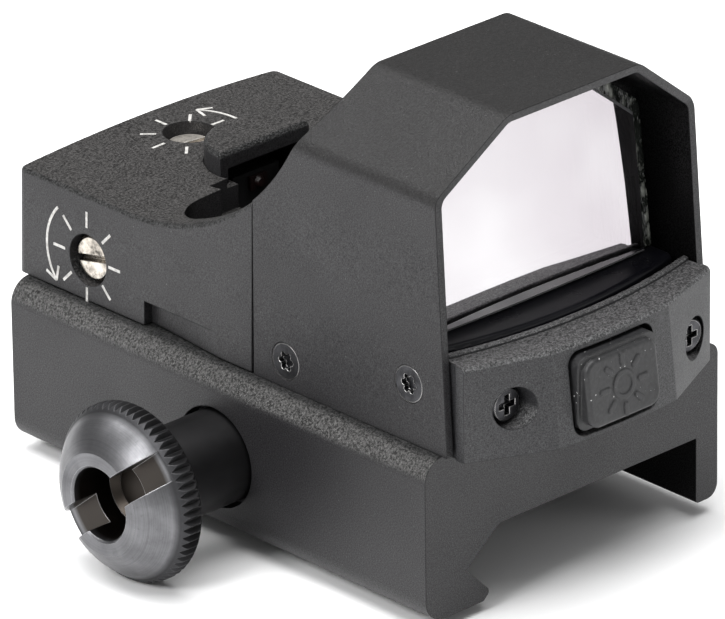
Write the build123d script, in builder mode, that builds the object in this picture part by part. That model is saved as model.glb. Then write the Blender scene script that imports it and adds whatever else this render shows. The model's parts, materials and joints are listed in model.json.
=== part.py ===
"""Mini reflex red dot sight on a dovetail rail base.

Millimetres.  +Z is up, -Y looks at the target, +Y faces the eye and -X is the thumb nut's side.
The origin is the centre of the rail channel, in the plane of the face that rests on the rail.
"""
from build123d import *
import math
import os

# ---------------------------------------------------------------- driving dimensions
# rail base
base_width = 28.0
base_length = 41.8
base_top = 6.8
foot_z = -5.36
wall_foot_z = -5.0
channel_left = -7.1
channel_right = 11.9
groove_apex = (-10.2, -2.5)
claw_tip = (-7.95, -4.75)
base_left_round = 1.7
base_right_round = 1.0
wall_foot_round = 0.25
bolt_z = 0.25

# clamp
bolt_radius = 2.0
bolt_travel = 2.8
bolt_recess = 3.6
jaw_half_length = 7.0
jaw_outer = 15.6
jaw_top = 4.0
jaw_inner = 12.05
barrel_radius = 3.4
barrel_floor = -12.75
nut_back = -20.65
nut_front = -24.8
nut_radius = 6.5
knurl_count = 64
knurl_depth = 0.36
nut_mouth_radius = 2.65
nut_mouth_depth = 3.4
nut_slot_width = 2.2
nut_slot_depth = 2.2
nut_slot_angle = 39.5

# sight body
body_bottom = 6.9
body_half_width = 12.45
body_rear = 21.95
body_corner = 0.8
deck_edge_round = 0.35
draft = 1.4
seam_y = -2.2
seam_gap = 0.24
deck_z = 15.3
deck_crown = 0.5
sweep_centre = (10.5, 34.1)
sweep_radius = 19.3
pit_floor = 12.8
pit_half_width = 11.1
pit_rear = 9.0
pit_throat_half = 5.8
pit_side_rear = 7.8
pit_corner = 3.3
shelf_half_width = 11.77
shelf_front_centre = -21.35
shelf_front_end = -19.7
cavity_half_width = 6.6
cavity_front = 10.2
cavity_rear = 20.6
cavity_top = 13.4

# hood
hood_wall = 0.6
hood_front = -21.44
hood_bend_z = 25.2
hood_bend_half = 12.25
hood_top_z = 29.9
hood_top_half = 6.24
hood_bend_back = 1.18
hood_top_back = 0.34
hood_bend_round = 1.5
hood_screw_places = ((-5.6, 8.8), (-17.7, 11.1))
hood_screw_head = 1.33

# front bar and button
bar_bottom = 6.5
bar_top = 13.5
bar_half = 11.75
bar_end_y = -22.35
bar_front_bottom = -25.6
bar_front_top = -24.75
bar_facet_half = 5.6
bar_facet_back = 0.35
bar_ridge_width = 0.55
bar_ridge_height = 0.25
bar_screw_places = ((-8.28, 9.95), (9.13, 9.37))
bar_screw_seat = -22.2
bar_screw_head = 1.32
button_x = -0.25
button_z = 9.87
button_face = -26.05
button_lean = 7.3
button_travel = 0.4
pad_size = (6.75, 4.85)
skirt_size = (7.4, 5.5)
flange_size = (8.6, 6.2)
button_gap = 0.3
sign_height = 0.07

# lens
lens_tilt = 7.0
lens_apex = (0.0, -17.5, 20.7)
lens_radius = 200.0
lens_thickness = 2.4
lens_half = 10.0
lens_top_half = 6.1
lens_edge_chamfer = 0.25
bead_width = 1.0
lens_bottom_z = 13.9
lens_corner_z = 23.9
lens_top_z = 27.0
gasket_top = 13.75
gasket_half = 11.0
gasket_rear = -14.6

# adjusters and emitter
windage_y = 14.5
windage_z = 9.95
elevation_x = -0.5
elevation_y = 16.85
elevation_head_top = 14.45
elevation_seat = 13.45
screw_radius = 1.25
thread_gap = 0.05
head_radius = 1.75
head_bore = 1.9
lip_centre_y = 9.7
lip_radius = 4.2
lip_top = 16.95
lip_foot = 14.58
lip_roof = 1.3
lip_wall = 0.7
emitter_half = 2.2
arm_half = 3.4
pin_ys = (13.9, 19.45)

# battery and electronics
cell_centre = (0.0, -7.0)
cell_radius = 10.0
pocket_radius = 10.25
cell_bottom = 7.1
cell_thickness = 3.2
board_z = 10.87
board_thickness = 0.6
body_screw_places = ((-4.5, -18.6), (4.5, -18.6), (-4.5, 6.8), (4.5, 6.8))
body_screw_radius = 1.0
body_screw_head = 1.75

side_view = Plane.YZ
front_view = Plane.XZ
low = (Align.CENTER, Align.CENTER, Align.MIN)


def narrowed(half_width, z):
    """Half width at height z of a wall that leans in by the draft angle."""
    return half_width - math.tan(math.radians(draft)) * (z - base_top)


def facing(origin, direction):
    """A plane whose local Z looks along direction."""
    return Plane(origin=origin, z_dir=direction)


def hood_skin(side, y, z, sunk=0.0):
    """Plane on the hood's leaning side wall, sunk by a depth; local Z looks into the wall."""
    lean = math.atan((body_half_width - hood_bend_half) / (hood_bend_z - base_top))
    half_width = body_half_width - math.tan(lean) * (z - base_top) - sunk
    return Plane(
        origin=(side * half_width, y, z),
        x_dir=(0, 1, 0),
        z_dir=(-side * math.cos(lean), 0, -math.sin(lean)),
    )


def star_profile(place, radius):
    """Outline of a six-lobed driver recess, lying at place."""
    with BuildSketch(place) as star:
        Circle(radius * 0.72)
        with PolarLocations(radius * 0.72, 6):
            Circle(radius * 0.28)
    return star.sketch


def cross_profile(place, radius):
    """Outline of a cross driver recess, lying at place."""
    with BuildSketch(place) as cross:
        Rectangle(radius * 2, radius * 0.62)
        Rectangle(radius * 0.62, radius * 2)
    return cross.sketch


def axis_plane(height):
    """Plane through the clamp axis: local X is +X, local Y is the radius, upwards."""
    return Plane(origin=(0, 0, height), x_dir=(1, 0, 0), z_dir=(0, -1, 0))


def shelf_arc(inset):
    """Plan curve of the body's front and of the bar's back, moved back by inset."""
    return ThreePointArc(
        (-shelf_half_width, shelf_front_end + inset),
        (0, shelf_front_centre + inset),
        (shelf_half_width, shelf_front_end + inset),
    )


def lens_plane():
    """Plane at the lens's front apex, leaning back at the top; local Z looks forward."""
    lean = math.radians(lens_tilt)
    return Plane(origin=lens_apex, x_dir=(1, 0, 0), z_dir=(0, -math.cos(lean), math.sin(lean)))


def lens_height(z):
    """Height along the leaning lens plane for a height z."""
    return (z - lens_apex[2]) / math.cos(math.radians(lens_tilt))


def lens_outline():
    """Corner points of the lens, seen square on."""
    bottom = lens_height(lens_bottom_z)
    corner = lens_height(lens_corner_z)
    top = lens_height(lens_top_z)
    right = [(lens_half, bottom), (lens_half, corner), (lens_top_half, top)]
    left = [(-x, height) for x, height in reversed(right)]
    return right + left


def sphere_centre(radius):
    """Centre of the sphere that all lens surfaces share."""
    lean = math.radians(lens_tilt)
    return (0, lens_apex[1] + radius * math.cos(lean), lens_apex[2] - radius * math.sin(lean))


os.makedirs("parts", exist_ok=True)

# ---------------------------------------------------------------- rail base
with BuildPart() as rail_base:
    with BuildSketch(front_view):
        with BuildLine():
            Polyline(
                (-base_width / 2, foot_z),
                (-base_width / 2, base_top),
                (base_width / 2, base_top),
                (base_width / 2, wall_foot_z),
                (channel_right, wall_foot_z),
                (channel_right, 0),
                (channel_left, 0),
                groove_apex,
                claw_tip,
                (claw_tip[0] - 0.65, foot_z),
                close=True,
            )
        make_face()
    extrude(amount=base_length / 2, both=True)
    long_edges = rail_base.edges().filter_by(Axis.Y)
    left_edges = long_edges.filter_by_position(Axis.X, -14.01, -13.99)
    fillet(left_edges, base_left_round)
    right_edges = rail_base.edges().filter_by(Axis.Y).filter_by_position(Axis.X, 13.9, 14.1)
    fillet(right_edges, base_right_round)
    wall_inner = rail_base.edges().filter_by(Axis.Y).filter_by_position(Axis.X, 11.8, 12.0)
    fillet(wall_inner.sort_by(Axis.Z)[0], wall_foot_round)
    seat_corner = rail_base.edges().filter_by(Axis.Y).filter_by_position(Axis.X, -7.2, -7.0)
    fillet(seat_corner, 1.3)
    tip_edges = rail_base.edges().filter_by(Axis.Y).filter_by_position(Axis.X, -8.7, -7.8)
    fillet(tip_edges.filter_by_position(Axis.Z, -5.6, -4.6), 0.35)
    # counterbore for the nut's barrel and the cross bore for the bolt
    with Locations(facing((-15, 0, bolt_z), (1, 0, 0))):
        Cylinder(barrel_radius + 0.3, barrel_floor + 15, align=low, mode=Mode.SUBTRACT)
        Cylinder(bolt_radius + 0.12, 30, align=low, mode=Mode.SUBTRACT)
    # pocket that guides the sliding jaw
    pocket_floor = jaw_inner - bolt_travel - 0.25
    with Locations(((pocket_floor + 15) / 2, 0, (jaw_top + 0.3 - 7) / 2)):
        Box(15 - pocket_floor, 2 * jaw_half_length + 0.3, jaw_top + 0.3 + 7, mode=Mode.SUBTRACT)
    # screws up into the sight body, pins and gasket groove
    for x, y in body_screw_places:
        with Locations((x, y, -1)):
            Cylinder(body_screw_radius + 0.1, 12, align=low, mode=Mode.SUBTRACT)
        with Locations((x, y, 0)):
            Cylinder(body_screw_head + 0.05, 0.3, align=low, mode=Mode.SUBTRACT)
        with Locations((x, y, 0.3)):
            Cone(body_screw_head + 0.05, body_screw_radius + 0.1, 0.8, align=low, mode=Mode.SUBTRACT)
    for x in (-9.3, 9.3):
        with Locations((x, 7.0, 4.6)):
            Cylinder(1.01, 4, align=low, mode=Mode.SUBTRACT)
    with BuildSketch(Plane.XY.offset(base_top)):
        with Locations(cell_centre):
            Circle(11.25)
            Circle(10.45, mode=Mode.SUBTRACT)
    extrude(amount=-0.45, mode=Mode.SUBTRACT)
rail_base.part.label = "rail_base"

# ---------------------------------------------------------------- clamp
with BuildPart() as clamp_jaw:
    with BuildSketch(front_view):
        with BuildLine():
            Polyline(
                (jaw_inner, jaw_top),
                (jaw_outer - 0.9, jaw_top),
                (jaw_outer, jaw_top - 0.9),
                (jaw_outer, -4.4),
                (jaw_outer - 0.9, -5.3),
                (jaw_inner + 0.35, -5.3),
                (jaw_inner - 0.1, -4.6),
                (jaw_inner + 1.8, -2.7),
                (jaw_inner, -0.9),
                close=True,
            )
        make_face()
    extrude(amount=jaw_half_length, both=True)
    chamfer(clamp_jaw.faces().sort_by(Axis.X)[-1].edges().filter_by(Axis.Z), 0.5)
    with Locations(facing((jaw_inner - 1, 0, bolt_z), (1, 0, 0))):
        Cylinder(bolt_radius + 0.03, 6, align=low, mode=Mode.SUBTRACT)
    with Locations(facing((jaw_outer - 1.3, 0, bolt_z), (1, 0, 0))):
        Cone(bolt_radius + 0.03, 3.33, 1.3, align=low, mode=Mode.SUBTRACT)
clamp_jaw.part.label = "clamp_jaw"

with BuildPart() as cross_bolt:
    bolt_end = nut_front + bolt_recess
    with Locations(facing((bolt_end, 0, bolt_z), (1, 0, 0))):
        Cylinder(bolt_radius, jaw_outer - 0.4 - bolt_end, align=low)
    chamfer(cross_bolt.edges().sort_by(Axis.X)[0], 0.3)
    with Locations(facing((jaw_outer - 1.3, 0, bolt_z), (1, 0, 0))):
        Cone(bolt_radius, 3.28, 1.28, align=low)
    bolt_drive = star_profile(facing((jaw_outer - 0.02, 0, bolt_z), (1, 0, 0)), 1.6)
    extrude(bolt_drive, amount=-0.9, mode=Mode.SUBTRACT)
cross_bolt.part.label = "cross_bolt"

with BuildPart() as thumb_nut:
    with BuildSketch(axis_plane(bolt_z)):
        with BuildLine():
            Polyline(
                (barrel_floor - 0.05, bolt_radius + 0.05),
                (barrel_floor - 0.05, barrel_radius - 0.25),
                (barrel_floor - 0.3, barrel_radius),
                (nut_back + 0.25, barrel_radius),
                (nut_back, barrel_radius + 0.25),
                (nut_back, nut_radius - 0.7),
            )
            ThreePointArc(
                (nut_back, nut_radius - 0.7),
                (nut_back - 1.0, nut_radius),
                (nut_back - 2.1, nut_radius - 0.5),
            )
            ThreePointArc(
                (nut_back - 2.1, nut_radius - 0.5),
                (nut_back - 3.25, nut_radius - 1.5),
                (nut_front, nut_radius - 2.8),
            )
            Polyline(
                (nut_front, nut_radius - 2.8),
                (nut_front, nut_mouth_radius + 0.15),
                (nut_front + 0.15, nut_mouth_radius),
                (nut_front + nut_mouth_depth, nut_mouth_radius),
                (nut_front + nut_mouth_depth + 0.55, bolt_radius + 0.05),
                (barrel_floor - 0.05, bolt_radius + 0.05),
            )
        make_face()
    revolve(axis=Axis((0, 0, bolt_z), (1, 0, 0)))
    # straight knurl: notches round the rim
    with BuildSketch(facing((nut_back + 0.01, 0, bolt_z), (-1, 0, 0))):
        with PolarLocations(nut_radius, knurl_count):
            RegularPolygon(knurl_depth, 4, rotation=0)
    extrude(amount=2.8, mode=Mode.SUBTRACT)
    # driver slot across the front
    with BuildSketch(Plane(origin=(nut_front - 0.1, 0, bolt_z), x_dir=(0, -1, 0), z_dir=(-1, 0, 0))):
        Rectangle(2.2 * nut_radius, nut_slot_width, rotation=nut_slot_angle)
    extrude(amount=-nut_slot_depth, mode=Mode.SUBTRACT)
thumb_nut.part.label = "thumb_nut"

# ---------------------------------------------------------------- sight body
with BuildPart() as sight_body:
    with BuildSketch(Plane.XY.offset(body_bottom)) as plan:
        with Locations((0, (body_rear + seam_y - 2) / 2)):
            Rectangle(2 * body_half_width, body_rear - seam_y + 2)
        fillet(plan.vertices().group_by(Axis.Y)[-1], body_corner)
    extrude(amount=13.4, taper=draft)
    with Locations((0, seam_y, body_bottom)):
        Box(40, 10, 40, align=(Align.CENTER, Align.MAX, Align.MIN), mode=Mode.SUBTRACT)
    # crowned deck that sweeps up in a hollow curve towards the hood
    with BuildLine(side_view) as deck_path:
        Line((body_rear + 2, deck_z), (sweep_centre[0], deck_z))
        CenterArc(sweep_centre, sweep_radius - deck_crown, 270, -58)
    crown_half = body_half_width - 0.3
    crown_radius = (crown_half ** 2 + deck_crown ** 2) / (2 * deck_crown)
    crown_drop = crown_radius - math.sqrt(crown_radius ** 2 - 14 ** 2)
    with BuildSketch(Plane(origin=(0, body_rear + 2, deck_z), x_dir=(1, 0, 0), z_dir=(0, -1, 0))):
        with BuildLine():
            ThreePointArc((-14, -crown_drop), (0, 0), (14, -crown_drop))
            Polyline((14, -crown_drop), (14, 11), (-14, 11), (-14, -crown_drop))
        make_face()
    sweep(path=deck_path.wires()[0], mode=Mode.SUBTRACT)
    deck_face = sight_body.faces().filter_by(lambda face: face.center().Z > 14).sort_by(Axis.Y)[-1]
    rear_rim = [edge for edge in deck_face.edges() if edge.center().Y > sweep_centre[0] + 1]
    fillet(rear_rim, deck_edge_round)
    # shelf under the hood
    with BuildSketch(Plane.XY.offset(body_bottom)):
        with BuildLine():
            shelf_arc(0)
            Polyline(
                (shelf_half_width, shelf_front_end),
                (shelf_half_width, seam_y + 1),
                (-shelf_half_width, seam_y + 1),
                (-shelf_half_width, shelf_front_end),
            )
        make_face()
    extrude(amount=pit_floor - body_bottom, taper=draft)
    # pit between the deck and the lens
    with BuildSketch(Plane.XY.offset(pit_floor)) as pit_plan:
        with Locations((0, (pit_side_rear + seam_y - 3) / 2)):
            Rectangle(2 * pit_half_width, pit_side_rear - seam_y + 3)
        fillet(pit_plan.vertices().group_by(Axis.Y)[-1], pit_corner)
        with Locations((0, pit_side_rear)):
            Rectangle(2 * pit_throat_half, 2 * (pit_rear - pit_side_rear))
    extrude(amount=12, mode=Mode.SUBTRACT)
    # cavity for the adjusters, open below, and the emitter's window
    with Locations((0, (cavity_front + cavity_rear) / 2, body_bottom - 1)):
        Box(
            2 * cavity_half_width,
            cavity_rear - cavity_front,
            cavity_top - body_bottom + 1,
            align=low,
            mode=Mode.SUBTRACT,
        )
    with Locations((0, (pit_rear - 1 + 12.7) / 2, 10.5)):
        Box(6.2, 12.7 - pit_rear + 1, 6, align=low, mode=Mode.SUBTRACT)
    with BuildSketch(Plane.XY.offset(14.55)):
        with Locations((0, lip_centre_y)):
            Circle(lip_radius + 0.03)
        with Locations((0, pit_rear - 3)):
            Rectangle(30, 6, align=(Align.CENTER, Align.CENTER), mode=Mode.SUBTRACT)
    extrude(amount=3, mode=Mode.SUBTRACT)
    # windage and elevation bores
    with Locations(facing((-13, windage_y, windage_z), (1, 0, 0))):
        Cylinder(head_bore, 2.5, align=low, mode=Mode.SUBTRACT)
        Cylinder(screw_radius + thread_gap, 8, align=low, mode=Mode.SUBTRACT)
    with Locations((elevation_x, elevation_y, elevation_seat)):
        Cylinder(head_bore, 3, align=low, mode=Mode.SUBTRACT)
    with Locations((elevation_x, elevation_y, 13)):
        Cylinder(screw_radius + thread_gap, 2, align=low, mode=Mode.SUBTRACT)
    # battery, board and chip pockets, open below
    with Locations((cell_centre[0], cell_centre[1], body_bottom)):
        pocket_depth = board_z + board_thickness + 0.1 - body_bottom
        Cylinder(pocket_radius, pocket_depth, align=low, mode=Mode.SUBTRACT)
    with Locations((3, cell_centre[1], body_bottom)):
        Box(4, 4, 12.15 - body_bottom, align=low, mode=Mode.SUBTRACT)
    # switch pocket in the front
    with Locations((button_x, -18.6, button_z)):
        Box(4.7, 6, 4.7, align=(Align.CENTER, Align.MAX, Align.CENTER), mode=Mode.SUBTRACT)
    # tapped holes and pin holes
    for x, y in body_screw_places:
        with Locations((x, y, body_bottom)):
            Cylinder(body_screw_radius + 0.02, 4.3, align=low, mode=Mode.SUBTRACT)
    for x in (-9.3, 9.3):
        with Locations((x, 7.0, body_bottom)):
            Cylinder(1.01, 2.2, align=low, mode=Mode.SUBTRACT)
    for side in (-1, 1):
        for y, z in hood_screw_places:
            with Locations(hood_skin(side, y, z, -0.5)):
                Cylinder(0.82, 3.6, align=low, mode=Mode.SUBTRACT)
    for x, z in bar_screw_places:
        with Locations(facing((x, -22, z), (0, 1, 0))):
            Cylinder(0.82, 5.2, align=low, mode=Mode.SUBTRACT)
    # tapered pry recess low on the left side
    with BuildSketch(Plane.XY.offset(body_bottom - 0.1)):
        Polygon((-12.75, 8.7), (-11.7, 8.7), (-12.5, 0.5), (-12.75, 0.5), align=None)
    extrude(amount=1.9, mode=Mode.SUBTRACT)
sight_body.part.label = "sight_body"

# ---------------------------------------------------------------- hood
hood_outer = [
    (-body_half_width, base_top),
    (-hood_bend_half, hood_bend_z),
    (-hood_top_half, hood_top_z),
    (hood_top_half, hood_top_z),
    (hood_bend_half, hood_bend_z),
    (body_half_width, base_top),
]
hood_rear = seam_y - seam_gap
with BuildPart() as hood:
    with BuildSketch(front_view) as shell:
        with BuildLine():
            Polyline(*hood_outer, close=True)
        make_face()
        fillet(shell.vertices().filter_by_position(Axis.Y, 20, 40), hood_bend_round)
        offset(amount=-hood_wall, kind=Kind.INTERSECTION, mode=Mode.SUBTRACT)
        inner_foot = body_half_width - hood_wall
        with BuildLine():
            Polyline(
                (-inner_foot, base_top),
                (-narrowed(inner_foot, base_top + 1), base_top + 1),
                (narrowed(inner_foot, base_top + 1), base_top + 1),
                (inner_foot, base_top),
                close=True,
            )
        make_face(mode=Mode.SUBTRACT)
    extrude(amount=-hood_rear + 22, dir=(0, -1, 0))
    seam_top = sweep_centre[1] - math.sqrt(sweep_radius ** 2 - (sweep_centre[0] - hood_rear) ** 2)
    rear_top = sweep_centre[0] - math.sqrt(sweep_radius ** 2 - (sweep_centre[1] - hood_top_z - 0.1) ** 2)
    rear_mid = sweep_centre[0] - math.sqrt(sweep_radius ** 2 - (sweep_centre[1] - hood_bend_z) ** 2)
    with BuildSketch(side_view):
        with BuildLine():
            Polyline(
                (rear_top, hood_top_z + 0.1),
                (hood_front + hood_top_back, hood_top_z + 0.1),
                (hood_front + hood_bend_back, hood_bend_z),
                (hood_front, base_top),
                (hood_rear, base_top),
                (hood_rear, seam_top),
            )
            ThreePointArc((hood_rear, seam_top), (rear_mid, hood_bend_z), (rear_top, hood_top_z + 0.1))
        make_face()
    extrude(amount=20, both=True, mode=Mode.INTERSECT)
    for side in (-1, 1):
        for y, z in hood_screw_places:
            with Locations(hood_skin(side, y, z)):
                Cone(hood_screw_head + 0.05, 0.85, 0.6, align=low, mode=Mode.SUBTRACT)
                Cylinder(0.85, 2, align=low, mode=Mode.SUBTRACT)
hood.part.label = "hood"

# ---------------------------------------------------------------- front bar and button
bar_rear_half = shelf_half_width - 0.2
with BuildPart() as front_bar:
    for z, front in ((bar_bottom, bar_front_bottom), (bar_top, bar_front_top)):
        with BuildSketch(Plane.XY.offset(z)):
            with BuildLine():
                Line((-bar_half, bar_end_y), (-bar_facet_half, front + bar_facet_back))
                ThreePointArc(
                    (-bar_facet_half, front + bar_facet_back),
                    (0, front),
                    (bar_facet_half, front + bar_facet_back),
                )
                Polyline(
                    (bar_facet_half, front + bar_facet_back),
                    (bar_half, bar_end_y),
                    (bar_half, hood_front - 0.1),
                    (bar_rear_half, hood_front - 0.1),
                    (bar_rear_half, shelf_front_end - 0.2),
                )
                ThreePointArc(
                    (bar_rear_half, shelf_front_end - 0.2),
                    (0, shelf_front_centre - 0.1),
                    (-bar_rear_half, shelf_front_end - 0.2),
                )
                Polyline(
                    (-bar_rear_half, shelf_front_end - 0.2),
                    (-bar_rear_half, hood_front - 0.1),
                    (-bar_half, hood_front - 0.1),
                    (-bar_half, bar_end_y),
                )
            make_face()
    loft(ruled=True)
    top_front = front_bar.faces().sort_by(Axis.Z)[-1].edges().filter_by_position(Axis.Y, -25, -22.7)
    fillet(top_front, 0.35)
    # ridge along the back of the top
    with BuildSketch(Plane.XY.offset(bar_top - 0.1)):
        with BuildLine():
            ridge_ends = ((-bar_rear_half, shelf_front_end - 0.2), (bar_rear_half, shelf_front_end - 0.2))
            ridge_back = ThreePointArc(ridge_ends[0], (0, shelf_front_centre - 0.1), ridge_ends[1])
            ridge_front = ThreePointArc(
                (ridge_ends[0][0], ridge_ends[0][1] - bar_ridge_width),
                (0, shelf_front_centre - 0.1 - bar_ridge_width),
                (ridge_ends[1][0], ridge_ends[1][1] - bar_ridge_width),
            )
            Line(ridge_back @ 0, ridge_front @ 0)
            Line(ridge_back @ 1, ridge_front @ 1)
        make_face()
    extrude(amount=0.1 + bar_ridge_height)
    fillet(front_bar.faces().sort_by(Axis.Z)[-1].edges(), 0.12)
    with Locations((0, -base_length / 2 - 0.1, bar_bottom - 1)):
        Box(30, 10, 1.4, align=(Align.CENTER, Align.MIN, Align.MIN), mode=Mode.SUBTRACT)
    # window for the button and hollow for its flange
    with BuildSketch(Plane.XZ.offset(30)):
        with Locations((button_x, button_z)):
            RectangleRounded(skirt_size[0] + 2 * button_gap, skirt_size[1] + 2 * button_gap, 1.0)
    extrude(amount=-12, mode=Mode.SUBTRACT)
    with Locations((button_x, -23.35, button_z)):
        Box(9.0, 6, 6.5, align=(Align.CENTER, Align.MIN, Align.CENTER), mode=Mode.SUBTRACT)
    for x, z in bar_screw_places:
        with Locations(facing((x, -27, z), (0, 1, 0))):
            Cylinder(bar_screw_head + 0.2, 27 + bar_screw_seat, align=low, mode=Mode.SUBTRACT)
            Cylinder(0.9, 8, align=low, mode=Mode.SUBTRACT)
front_bar.part.label = "front_bar"

lean = math.radians(button_lean)
button_normal = (0, -math.cos(lean), math.sin(lean))
button_plane = Plane(origin=(button_x, button_face, button_z), x_dir=(1, 0, 0), z_dir=button_normal)
with BuildPart() as rubber_button:
    with BuildSketch(Plane.XZ.offset(-button_face - 1.5)):
        with Locations((button_x, button_z)):
            RectangleRounded(pad_size[0], pad_size[1], 1.0)
    extrude(amount=4)
    with BuildSketch(button_plane):
        Rectangle(20, 20)
    extrude(amount=6, mode=Mode.SUBTRACT)
    fillet(rubber_button.faces().sort_by(Axis.Y)[0].outer_wire().edges(), 0.3)
    with BuildSketch(Plane.XZ.offset(22.7)):
        with Locations((button_x, button_z)):
            RectangleRounded(skirt_size[0], skirt_size[1], 0.9)
    extrude(amount=-button_face - 22.7 - 0.7)
    with BuildSketch(Plane.XZ.offset(22.5)):
        with Locations((button_x, button_z)):
            RectangleRounded(flange_size[0], flange_size[1], 1.0)
    extrude(amount=0.75)
    with Locations(facing((button_x, -21.95, button_z), (0, -1, 0))):
        Cylinder(1.2, 0.8, align=low)
    # raised sun sign
    with BuildSketch(button_plane):
        Circle(1.05)
        Circle(0.7, mode=Mode.SUBTRACT)
        with PolarLocations(1.8, 8):
            SlotOverall(1.0, 0.42)
    extrude(amount=sign_height)
rubber_button.part.label = "rubber_button"

with BuildPart() as switch_plunger:
    with Locations(facing((button_x, -20.75, button_z), (0, -1, 0))):
        Cylinder(1.1, 1.18, align=low)
switch_plunger.part.label = "switch_plunger"

with BuildPart() as tact_switch:
    with Locations((button_x, -18.65, button_z)):
        Box(4.5, 2.15, 4.5, align=(Align.CENTER, Align.MAX, Align.CENTER))
    chamfer(tact_switch.edges().filter_by(Axis.Y), 0.3)
    with Locations(facing((button_x, -21, button_z), (0, 1, 0))):
        Cylinder(1.2, 0.85, align=low, mode=Mode.SUBTRACT)
tact_switch.part.label = "tact_switch"

# ---------------------------------------------------------------- lens and its bedding
with BuildPart() as lens:
    with BuildSketch(lens_plane().offset(-8)):
        with BuildLine():
            Polyline(*lens_outline(), close=True)
        make_face()
    extrude(amount=9)
    with Locations(sphere_centre(lens_radius)):
        Sphere(lens_radius, mode=Mode.INTERSECT)
        Sphere(lens_radius - lens_thickness, mode=Mode.SUBTRACT)
    chamfer(lens.faces().sort_by(Axis.Y)[0].outer_wire().edges(), lens_edge_chamfer)
lens.part.label = "lens"

with BuildPart() as lens_adhesive:
    with BuildSketch(lens_plane().offset(-3.3)) as bead:
        with BuildLine():
            Polyline(*lens_outline(), close=True)
        make_face()
        offset(amount=bead_width, kind=Kind.ARC, mode=Mode.ADD)
        with BuildLine():
            Polyline(*lens_outline(), close=True)
        make_face(mode=Mode.SUBTRACT)
        with Locations((0, lens_height(lens_bottom_z))):
            Rectangle(30, 5, align=(Align.CENTER, Align.MAX), mode=Mode.SUBTRACT)
    extrude(amount=2.4)
lens_adhesive.part.label = "lens_adhesive"

with BuildPart() as lens_gasket:
    with BuildSketch(Plane.XY.offset(pit_floor + 0.02)):
        with BuildLine():
            gasket_front = ThreePointArc(
                (-gasket_half, shelf_front_end + 0.35),
                (0, shelf_front_centre + 0.45),
                (gasket_half, shelf_front_end + 0.35),
            )
            Polyline(
                gasket_front @ 1,
                (gasket_half, gasket_rear),
                (-gasket_half, gasket_rear),
                gasket_front @ 0,
            )
        make_face()
    extrude(amount=gasket_top - pit_floor - 0.02)
    fillet(lens_gasket.faces().sort_by(Axis.Z)[-1].edges().sort_by(Axis.Y)[0], 0.4)
    with BuildSketch(lens_plane()):
        with Locations((0, lens_height(lens_bottom_z) - 0.02)):
            Rectangle(30, 5, align=(Align.CENTER, Align.MIN))
    extrude(amount=-8, mode=Mode.SUBTRACT)
lens_gasket.part.label = "lens_gasket"

# ---------------------------------------------------------------- emitter shroud
with BuildPart() as led_shroud:
    with BuildSketch(Plane.XY.offset(lip_foot)):
        with Locations((0, lip_centre_y)):
            Circle(lip_radius)
        with Locations((0, lip_centre_y - 0.1)):
            Rectangle(20, 10, align=(Align.CENTER, Align.MAX), mode=Mode.SUBTRACT)
    extrude(amount=lip_top - lip_foot)
    fillet(led_shroud.faces().sort_by(Axis.Z)[-1].edges(), 0.45)
    with BuildSketch(Plane.XY.offset(lip_foot)):
        with Locations((0, lip_centre_y)):
            Circle(lip_radius - lip_wall)
        with Locations((0, lip_centre_y - 1)):
            Rectangle(2 * (lip_radius - lip_wall), 2)
    extrude(amount=lip_top - lip_foot - lip_roof, mode=Mode.SUBTRACT)
led_shroud.part.label = "led_shroud"

# ---------------------------------------------------------------- fasteners and pins
with BuildPart() as hood_screws:
    for side in (-1, 1):
        for y, z in hood_screw_places:
            skin = hood_skin(side, y, z, 0.04)
            with Locations(skin):
                Cone(hood_screw_head, 0.8, 0.55, align=low)
                Cylinder(0.8, 2.3, align=low)
            extrude(star_profile(skin, 0.72), amount=0.45, mode=Mode.SUBTRACT)
hood_screws.part.label = "hood_screws"

with BuildPart() as bar_screws:
    for x, z in bar_screw_places:
        with Locations(facing((x, bar_screw_seat - 0.75, z), (0, 1, 0))):
            Cylinder(bar_screw_head, 0.73, align=low)
            Cylinder(0.8, 5.6, align=low)
    chamfer(bar_screws.edges().group_by(Axis.Y)[0], 0.2)
    for x, z in bar_screw_places:
        drive = cross_profile(facing((x, bar_screw_seat - 0.75, z), (0, -1, 0)), 0.75)
        extrude(drive, amount=-0.5, mode=Mode.SUBTRACT)
bar_screws.part.label = "bar_screws"

with BuildPart() as body_screws:
    for x, y in body_screw_places:
        with Locations((x, y, 0.3)):
            Cone(body_screw_head, body_screw_radius, 0.75, align=low)
            Cylinder(body_screw_radius, 10.6, align=low)
        drive = star_profile(facing((x, y, 0.3), (0, 0, -1)), 0.9)
        extrude(drive, amount=-0.6, mode=Mode.SUBTRACT)
body_screws.part.label = "body_screws"

with BuildPart() as locating_pins:
    for x in (-9.3, 9.3):
        with Locations((x, 7.0, 4.65)):
            Cylinder(1.0, 4.3, align=low)
locating_pins.part.label = "locating_pins"

with BuildPart() as base_gasket:
    with BuildSketch(Plane.XY.offset(base_top - 0.43)):
        with Locations(cell_centre):
            Circle(11.2)
            Circle(10.5, mode=Mode.SUBTRACT)
    extrude(amount=0.5)
base_gasket.part.label = "base_gasket"

# ---------------------------------------------------------------- battery and electronics
cell_top = cell_bottom + cell_thickness
with BuildPart() as coin_cell:
    with Locations((*cell_centre, cell_bottom)):
        Cylinder(cell_radius, cell_thickness - 0.4, align=low)
    fillet(coin_cell.edges(), 0.3)
    with Locations((*cell_centre, cell_bottom + cell_thickness - 0.6)):
        Cylinder(cell_radius - 1.4, 0.6, align=low)
coin_cell.part.label = "coin_cell"

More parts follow.
